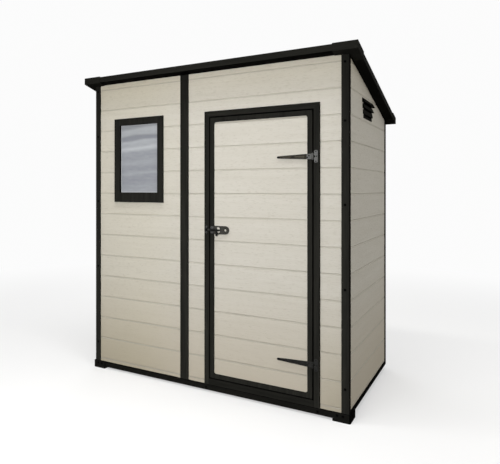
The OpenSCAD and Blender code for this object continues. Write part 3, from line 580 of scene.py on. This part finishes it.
sink = 0.0003  # what is added starts this far inside the face it sits on
sharpAngle = math.radians(32)  # edges that turn by more than this stay sharp


def facing(point, outward):
    # local Z points outward
    return Matrix.Translation(point) @ Vector(outward).to_track_quat("Z", "Y").to_matrix().to_4x4()


def frontFace(point):
    # local X runs to the right, Y up and Z out of the front
    return Matrix.Translation(point) @ Matrix(((1, 0, 0), (0, 0, -1), (0, 1, 0))).to_4x4()


def joinRings(bm, place, rings):
    # rings of points with the same number in each; the first and last are closed
    rows = [[bm.verts.new(place @ Vector(point)) for point in points] for points in rings]
    count = len(rows[0])
    for lower, upper in zip(rows, rows[1:]):
        for i in range(count):
            j = (i + 1) % count
            bm.faces.new((lower[i], lower[j], upper[j], upper[i]))
    bm.faces.new(rows[-1])
    bm.faces.new(rows[0][::-1])


def ring(reaches, height, steps):
    # points round the middle, whose reaches repeat
    points = []
    for i in range(steps):
        reach, angle = reaches[i % len(reaches)], 2 * math.pi * i / steps
        points.append((reach * math.cos(angle), reach * math.sin(angle), height))
    return points


def inset(outline, distance):
    # moves the sides of a convex outline inwards
    moved = []
    count = len(outline)
    for i, point in enumerate(outline):
        before = Vector(point) - Vector(outline[i - 1])
        after = Vector(outline[(i + 1) % count]) - Vector(point)
        first = Vector((-before.y, before.x)).normalized()
        second = Vector((-after.y, after.x)).normalized()
        shift = (first + second) / max(1 + first.dot(second), 0.2)
        moved.append(Vector(point) + shift * distance)
    return moved


def pad(bm, place, outline, height, bevel):
    # a raised pad with bevelled edges over a convex outline
    levels = ((outline, -sink), (outline, height - bevel), (inset(outline, bevel), height))
    joinRings(bm, place, [[(point[0], point[1], z) for point in points] for points, z in levels])


def roundedBox(x0, x1, y0, y1, radius, steps=4):
    outline = []
    corners = ((x1 - radius, y0 + radius, -90), (x1 - radius, y1 - radius, 0),
               (x0 + radius, y1 - radius, 90), (x0 + radius, y0 + radius, 180))
    for cx, cy, start in corners:
        for i in range(steps + 1):
            angle = math.radians(start + 90 * i / steps)
            outline.append((cx + radius * math.cos(angle), cy + radius * math.sin(angle)))
    return outline


def taper(x0, r0, x1, r1, steps=6):
    # the outline round two circles, x0 < x1
    outline = []
    for cx, radius, start in ((x1, r1, -90), (x0, r0, 90)):
        for i in range(steps + 1):
            angle = math.radians(start + 180 * i / steps)
            outline.append((cx + radius * math.cos(angle), radius * math.sin(angle)))
    return outline


def addPiece(name, bm, material, body):
    bmesh.ops.recalc_face_normals(bm, faces=bm.faces)
    mesh = bpy.data.meshes.new(name)
    bm.to_mesh(mesh)
    bm.free()
    mesh.shade_smooth()
    mesh.set_sharp_from_angle(angle=sharpAngle)
    mesh.materials.append(finishes[material])
    piece = bpy.data.objects.new(name, mesh)
    scene.collection.objects.link(piece)
    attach(piece, body)
    return piece


# Screws

screw = {
    "radius": 0.0038,
    "height": 0.0016,
    "profile": ((1.0, 0.3), (0.86, 0.8), (0.58, 1.0)),  # shares of the radius and the height
    "recess": (0.0018, 0.0006, 0.00048, 0.0006),  # reach of a point and of the waist beside it
    "depth": 0.00096,
    "taper": 0.7,
    # radius and height of each ring of the collar round a sunk screw
    "cup": ((0.0068, -sink), (0.0068, 0.00054), (0.006256, 0.0009), (0.00475, 0.0009), (0.00437, 0.0001)),
    "sunk": 0.55,  # share of a screw's height that shows in its collar
    "steps": 16,
}


def addScrew(bm, point, outward, s, scale=1.0, sunk=1.0):
    steps, radius, height = s["steps"], s["radius"], s["height"] * sunk
    rings = [ring([radius], -sink, steps)]
    rings += [ring([radius * wide], height * high, steps) for wide, high in s["profile"]]
    rings.append(ring(s["recess"], height, steps))
    rings.append(ring([reach * s["taper"] for reach in s["recess"]], height - s["depth"], steps))
    joinRings(bm, facing(point, outward) @ Matrix.Scale(scale, 4), rings)


def addCuppedScrew(bm, cups, point, outward, s):
    # a screw sunk in a collar moulded on the resin
    rings = [ring([radius], height, s["steps"]) for radius, height in s["cup"]]
    joinRings(cups, facing(point, outward), rings)
    addScrew(bm, point, outward, s, sunk=s["sunk"])


postScrews = {
    "heights": (1.594, 1.149, 0.700, 0.175),
    "topGaps": (0.042, 0.062),  # from the top of a front post and a back post to the highest screw
    "fromEdge": 0.023,
}


def makePostScrews(s):
    bm = bmesh.new()
    cups = bmesh.new()
    for side in (-1, 1):
        for node, outward, topGap in zip(("post_front_right", "post_back_right"), (-1, 1), s["topGaps"]):
            low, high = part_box(node)
            x = side * (high.x - s["fromEdge"])
            y = low.y if outward < 0 else high.y
            top = high.z - topGap
            for z in (top, *(z for z in s["heights"] if z < top)):
                addCuppedScrew(bm, cups, (x, y, z), (0, outward, 0), screw)
    addPiece("postScrews", bm, "recessShadeResin", "shed")
    addPiece("postCups", cups, "recessShadeResin", "shed")


makePostScrews(postScrews)

baseScrews = {
    "underJamb": (0.012, 0.028),  # from the jamb's outer edge, height
    "onFoot": ((0.063, 0.0335), (0.032, 0.0335)),  # from the post's outer face, height
    "onSide": (0.045, 0.030),  # from the foot's front, height
}


def makeBaseScrews(s):
    bm = bmesh.new()
    cups = bmesh.new()
    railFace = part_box("base_rail_front")[0].y
    inward, z = s["underJamb"]
    for x in (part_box("door_jamb_latch")[0].x + inward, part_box("door_jamb_hinge")[1].x - inward):
        addCuppedScrew(bm, cups, (x, railFace, z), (0, -1, 0), screw)
    footLow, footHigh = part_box("base_feet")
    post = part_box("post_front_right")[1].x
    back, sideZ = s["onSide"]
    for side in (-1, 1):
        for inward, z in s["onFoot"]:
            addCuppedScrew(bm, cups, (side * (post - inward), footLow.y, z), (0, -1, 0), screw)
        addCuppedScrew(bm, cups, (side * footHigh.x, footLow.y + back, sideZ), (side, 0, 0), screw)
    addPiece("baseScrews", bm, "recessShadeResin", "shed")
    addPiece("baseCups", cups, "recessShadeResin", "shed")


makeBaseScrews(baseScrews)
print("screws on posts and base")


# Hinges

hinge = {
    "leaf": 0.003,  # thickness
    "plateStart": 0.008,  # from the pin to the butt plate's near edge
    "buttScrews": ((-0.0005, 0.027), (0.003, 0.0), (-0.0005, -0.027)),  # from the middle of the butt plate
    # from the pin, and the size of each
    "strapScrews": ((-0.021, 0.0045, 1.0), (-0.030, -0.0045, 1.0), (-0.112, 0.0, 1.0), (-0.192, 0.0, 0.9)),
    # distance from the pin and radius of each end of a rib
    "ribs": (((-0.172, 0.0022), (-0.128, 0.0034)), ((-0.098, 0.0040), (-0.052, 0.0058))),
    "ribHeight": 0.0014,
    "ribBevel": 0.0008,
}


def makeHingeParts(level, s, ribMaterial):
    buttLow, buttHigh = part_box("hinge_butt_" + level)
    strapLow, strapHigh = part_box("hinge_strap_" + level)
    height = (buttLow.z + buttHigh.z) / 2
    pinX = strapHigh.x - (strapHigh.y - strapLow.y) / 2  # the middle of the knuckle
    front = strapHigh.y - s["leaf"]
    plateX = (pinX + s["plateStart"] + buttHigh.x) / 2
    bm = bmesh.new()
    for dx, dz in s["buttScrews"]:
        addScrew(bm, (plateX + dx, front, height + dz), (0, -1, 0), screw)
    addPiece("buttScrews." + level, bm, "screwSteel", "shed")
    bm = bmesh.new()
    for dx, dz, scale in s["strapScrews"]:
        addScrew(bm, (pinX + dx, front, height + dz), (0, -1, 0), screw, scale)
    addPiece("strapScrews." + level, bm, "screwSteel", "door")
    bm = bmesh.new()
    for (x0, r0), (x1, r1) in s["ribs"]:
        pad(bm, frontFace((pinX, front, height)), taper(x0, r0, x1, r1), s["ribHeight"], s["ribBevel"])
    addPiece("strapRibs." + level, bm, ribMaterial, "door")


# painted highlight: each strap's ribs get a lighter steel than the strap
for level, ribMaterial in (("upper", "ribHighlightSteel"), ("lower", "blackSteel")):
    makeHingeParts(level, hinge, ribMaterial)
print("hinges dressed")


# Latch

latch = {
    "leaf": 0.003,  # thickness
    "guideWidth": 0.022,
    # height above and below the bolt where each foot starts and ends, and how far it lies inside the edges
    "guideFeet": (0.0085, 0.0200, 0.0015),
    "keeperFeet": (0.0100, 0.0215, 0.0042),
    "footScrew": 0.8,  # sizes of the screws
    "plateScrew": 0.7,
    "plateScrews": ((0.060, 0.0165), (0.060, -0.0165)),  # from the plate's left edge and the bolt
    "padHeight": 0.0012,
    "padBevel": 0.0006,
    "padRound": 0.003,
}


def addFeet(bm, screws, corner, width, foot, s):
    # pads above and below the bolt, from the left end of its level, with a screw in each
    near, far, edge = foot
    x, y, z = corner
    for sign in (-1, 1):
        low, high = sorted((sign * near, sign * far))
        outline = roundedBox(edge, width - edge, low, high, s["padRound"])
        pad(bm, frontFace(corner), outline, s["padHeight"], s["padBevel"])
        middle = (x + width / 2, y - s["padHeight"], z + (low + high) / 2)
        addScrew(screws, middle, (0, -1, 0), screw, s["footScrew"])


def makeLatchParts(s):
    plateLow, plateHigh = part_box("latch_plate")
    keeperLow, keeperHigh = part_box("latch_keeper")
    level = (plateLow.z + plateHigh.z) / 2
    front = plateHigh.y - s["leaf"]
    bm = bmesh.new()
    screws = bmesh.new()
    addFeet(bm, screws, (plateLow.x, front, level), s["guideWidth"], s["guideFeet"], s)
    for dx, dz in s["plateScrews"]:
        addScrew(screws, (plateLow.x + dx, front, level + dz), (0, -1, 0), screw, s["plateScrew"])
    addPiece("guideFeet", bm, "padSteel", "door")
    addPiece("latchScrews", screws, "screwSteel", "door")
    bm = bmesh.new()
    screws = bmesh.new()
    addFeet(bm, screws, (keeperLow.x, front, level), keeperHigh.x - keeperLow.x, s["keeperFeet"], s)
    addPiece("keeperFeet", bm, "padSteel", "shed")
    addPiece("keeperScrews", screws, "screwSteel", "shed")


makeLatchParts(latch)
print("latch dressed")


# Window

bead = {
    "lap": 0.008,  # the frame laps over the pane by this
    # how far each edge lies inwards, and how proud it is
    "profile": ((0.0, 0.0), (0.0, 0.0022), (0.00225, 0.0022), (0.0045, 0.00077), (0.0045, 0.0)),
    # painted highlight: the bead's pale tone stands in for light caught along the pane's edge
    "tone": (0.50, 0.515, 0.53),
}


def makeWindowBead(s):
    low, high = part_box("window_pane")
    bm = bmesh.new()
    rows = []
    for inward, proud in s["profile"]:
        edge = s["lap"] + inward
        x0, x1, z0, z1 = low.x + edge, high.x - edge, low.z + edge, high.z - edge
        corners = ((x0, z0), (x1, z0), (x1, z1), (x0, z1))
        rows.append([bm.verts.new((x, low.y - proud, z)) for x, z in corners])
    for first, second in zip(rows, rows[1:] + rows[:1]):
        for i in range(4):
            j = (i + 1) % 4
            bm.faces.new((first[i], first[j], second[j], second[i]))
    finishes["beadHighlightResin"] = wornSteel("beadHighlightResin", (s["tone"], s["tone"]), 0.6, 0.0)
    addPiece("windowBead", bm, "beadHighlightResin", "shed")


makeWindowBead(bead)
print("window dressed")


# Vents

ventScreen = {
    "opening": (0.192, 0.088),  # inside the vent's sleeve
    "pitch": 0.0032,
    "wire": 0.0006,
    "weave": 0.0004,
    "lap": 0.0006,  # into the sleeve, where the wires are held
    "fromInside": 0.004,
}


def addWire(bm, start, step, count, aside, deep, s, first):
    # a four-sided wire that passes over and under the wires it crosses
    rings = []
    for i in range(count):
        centre = start + step * i + deep * s["weave"] * (1 if (i + first) % 2 else -1)
        rings.append([centre + aside * s["wire"], centre + deep * s["wire"],
                      centre - aside * s["wire"], centre - deep * s["wire"]])
    joinRings(bm, Matrix.Identity(4), rings)


def makeVentScreen(side, s):
    low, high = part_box("vent_" + side)
    x = low.x + s["fromInside"] if side == "right" else high.x - s["fromInside"]
    middle = Vector((x, (low.y + high.y) / 2, (low.z + high.z) / 2))
    across, up, deep = Vector((0, 1, 0)), Vector((0, 0, 1)), Vector((1, 0, 0))
    wide, tall = (length / 2 + s["lap"] for length in s["opening"])
    columns, rows = (int(2 * half / s["pitch"]) for half in (wide, tall))
    bm = bmesh.new()
    for i in range(1, columns):
        start = middle + across * (2 * wide * i / columns - wide) - up * tall
        addWire(bm, start, up * (2 * tall / rows), rows + 1, across, deep, s, i)
    for i in range(1, rows):
        start = middle + up * (2 * tall * i / rows - tall) - across * wide
        addWire(bm, start, across * (2 * wide / columns), columns + 1, up, deep, s, i + 1)
    addPiece("ventScreen." + side, bm, "sootSteel", "shed")


for side in ("left", "right"):
    makeVentScreen(side, ventScreen)
print("vents screened")
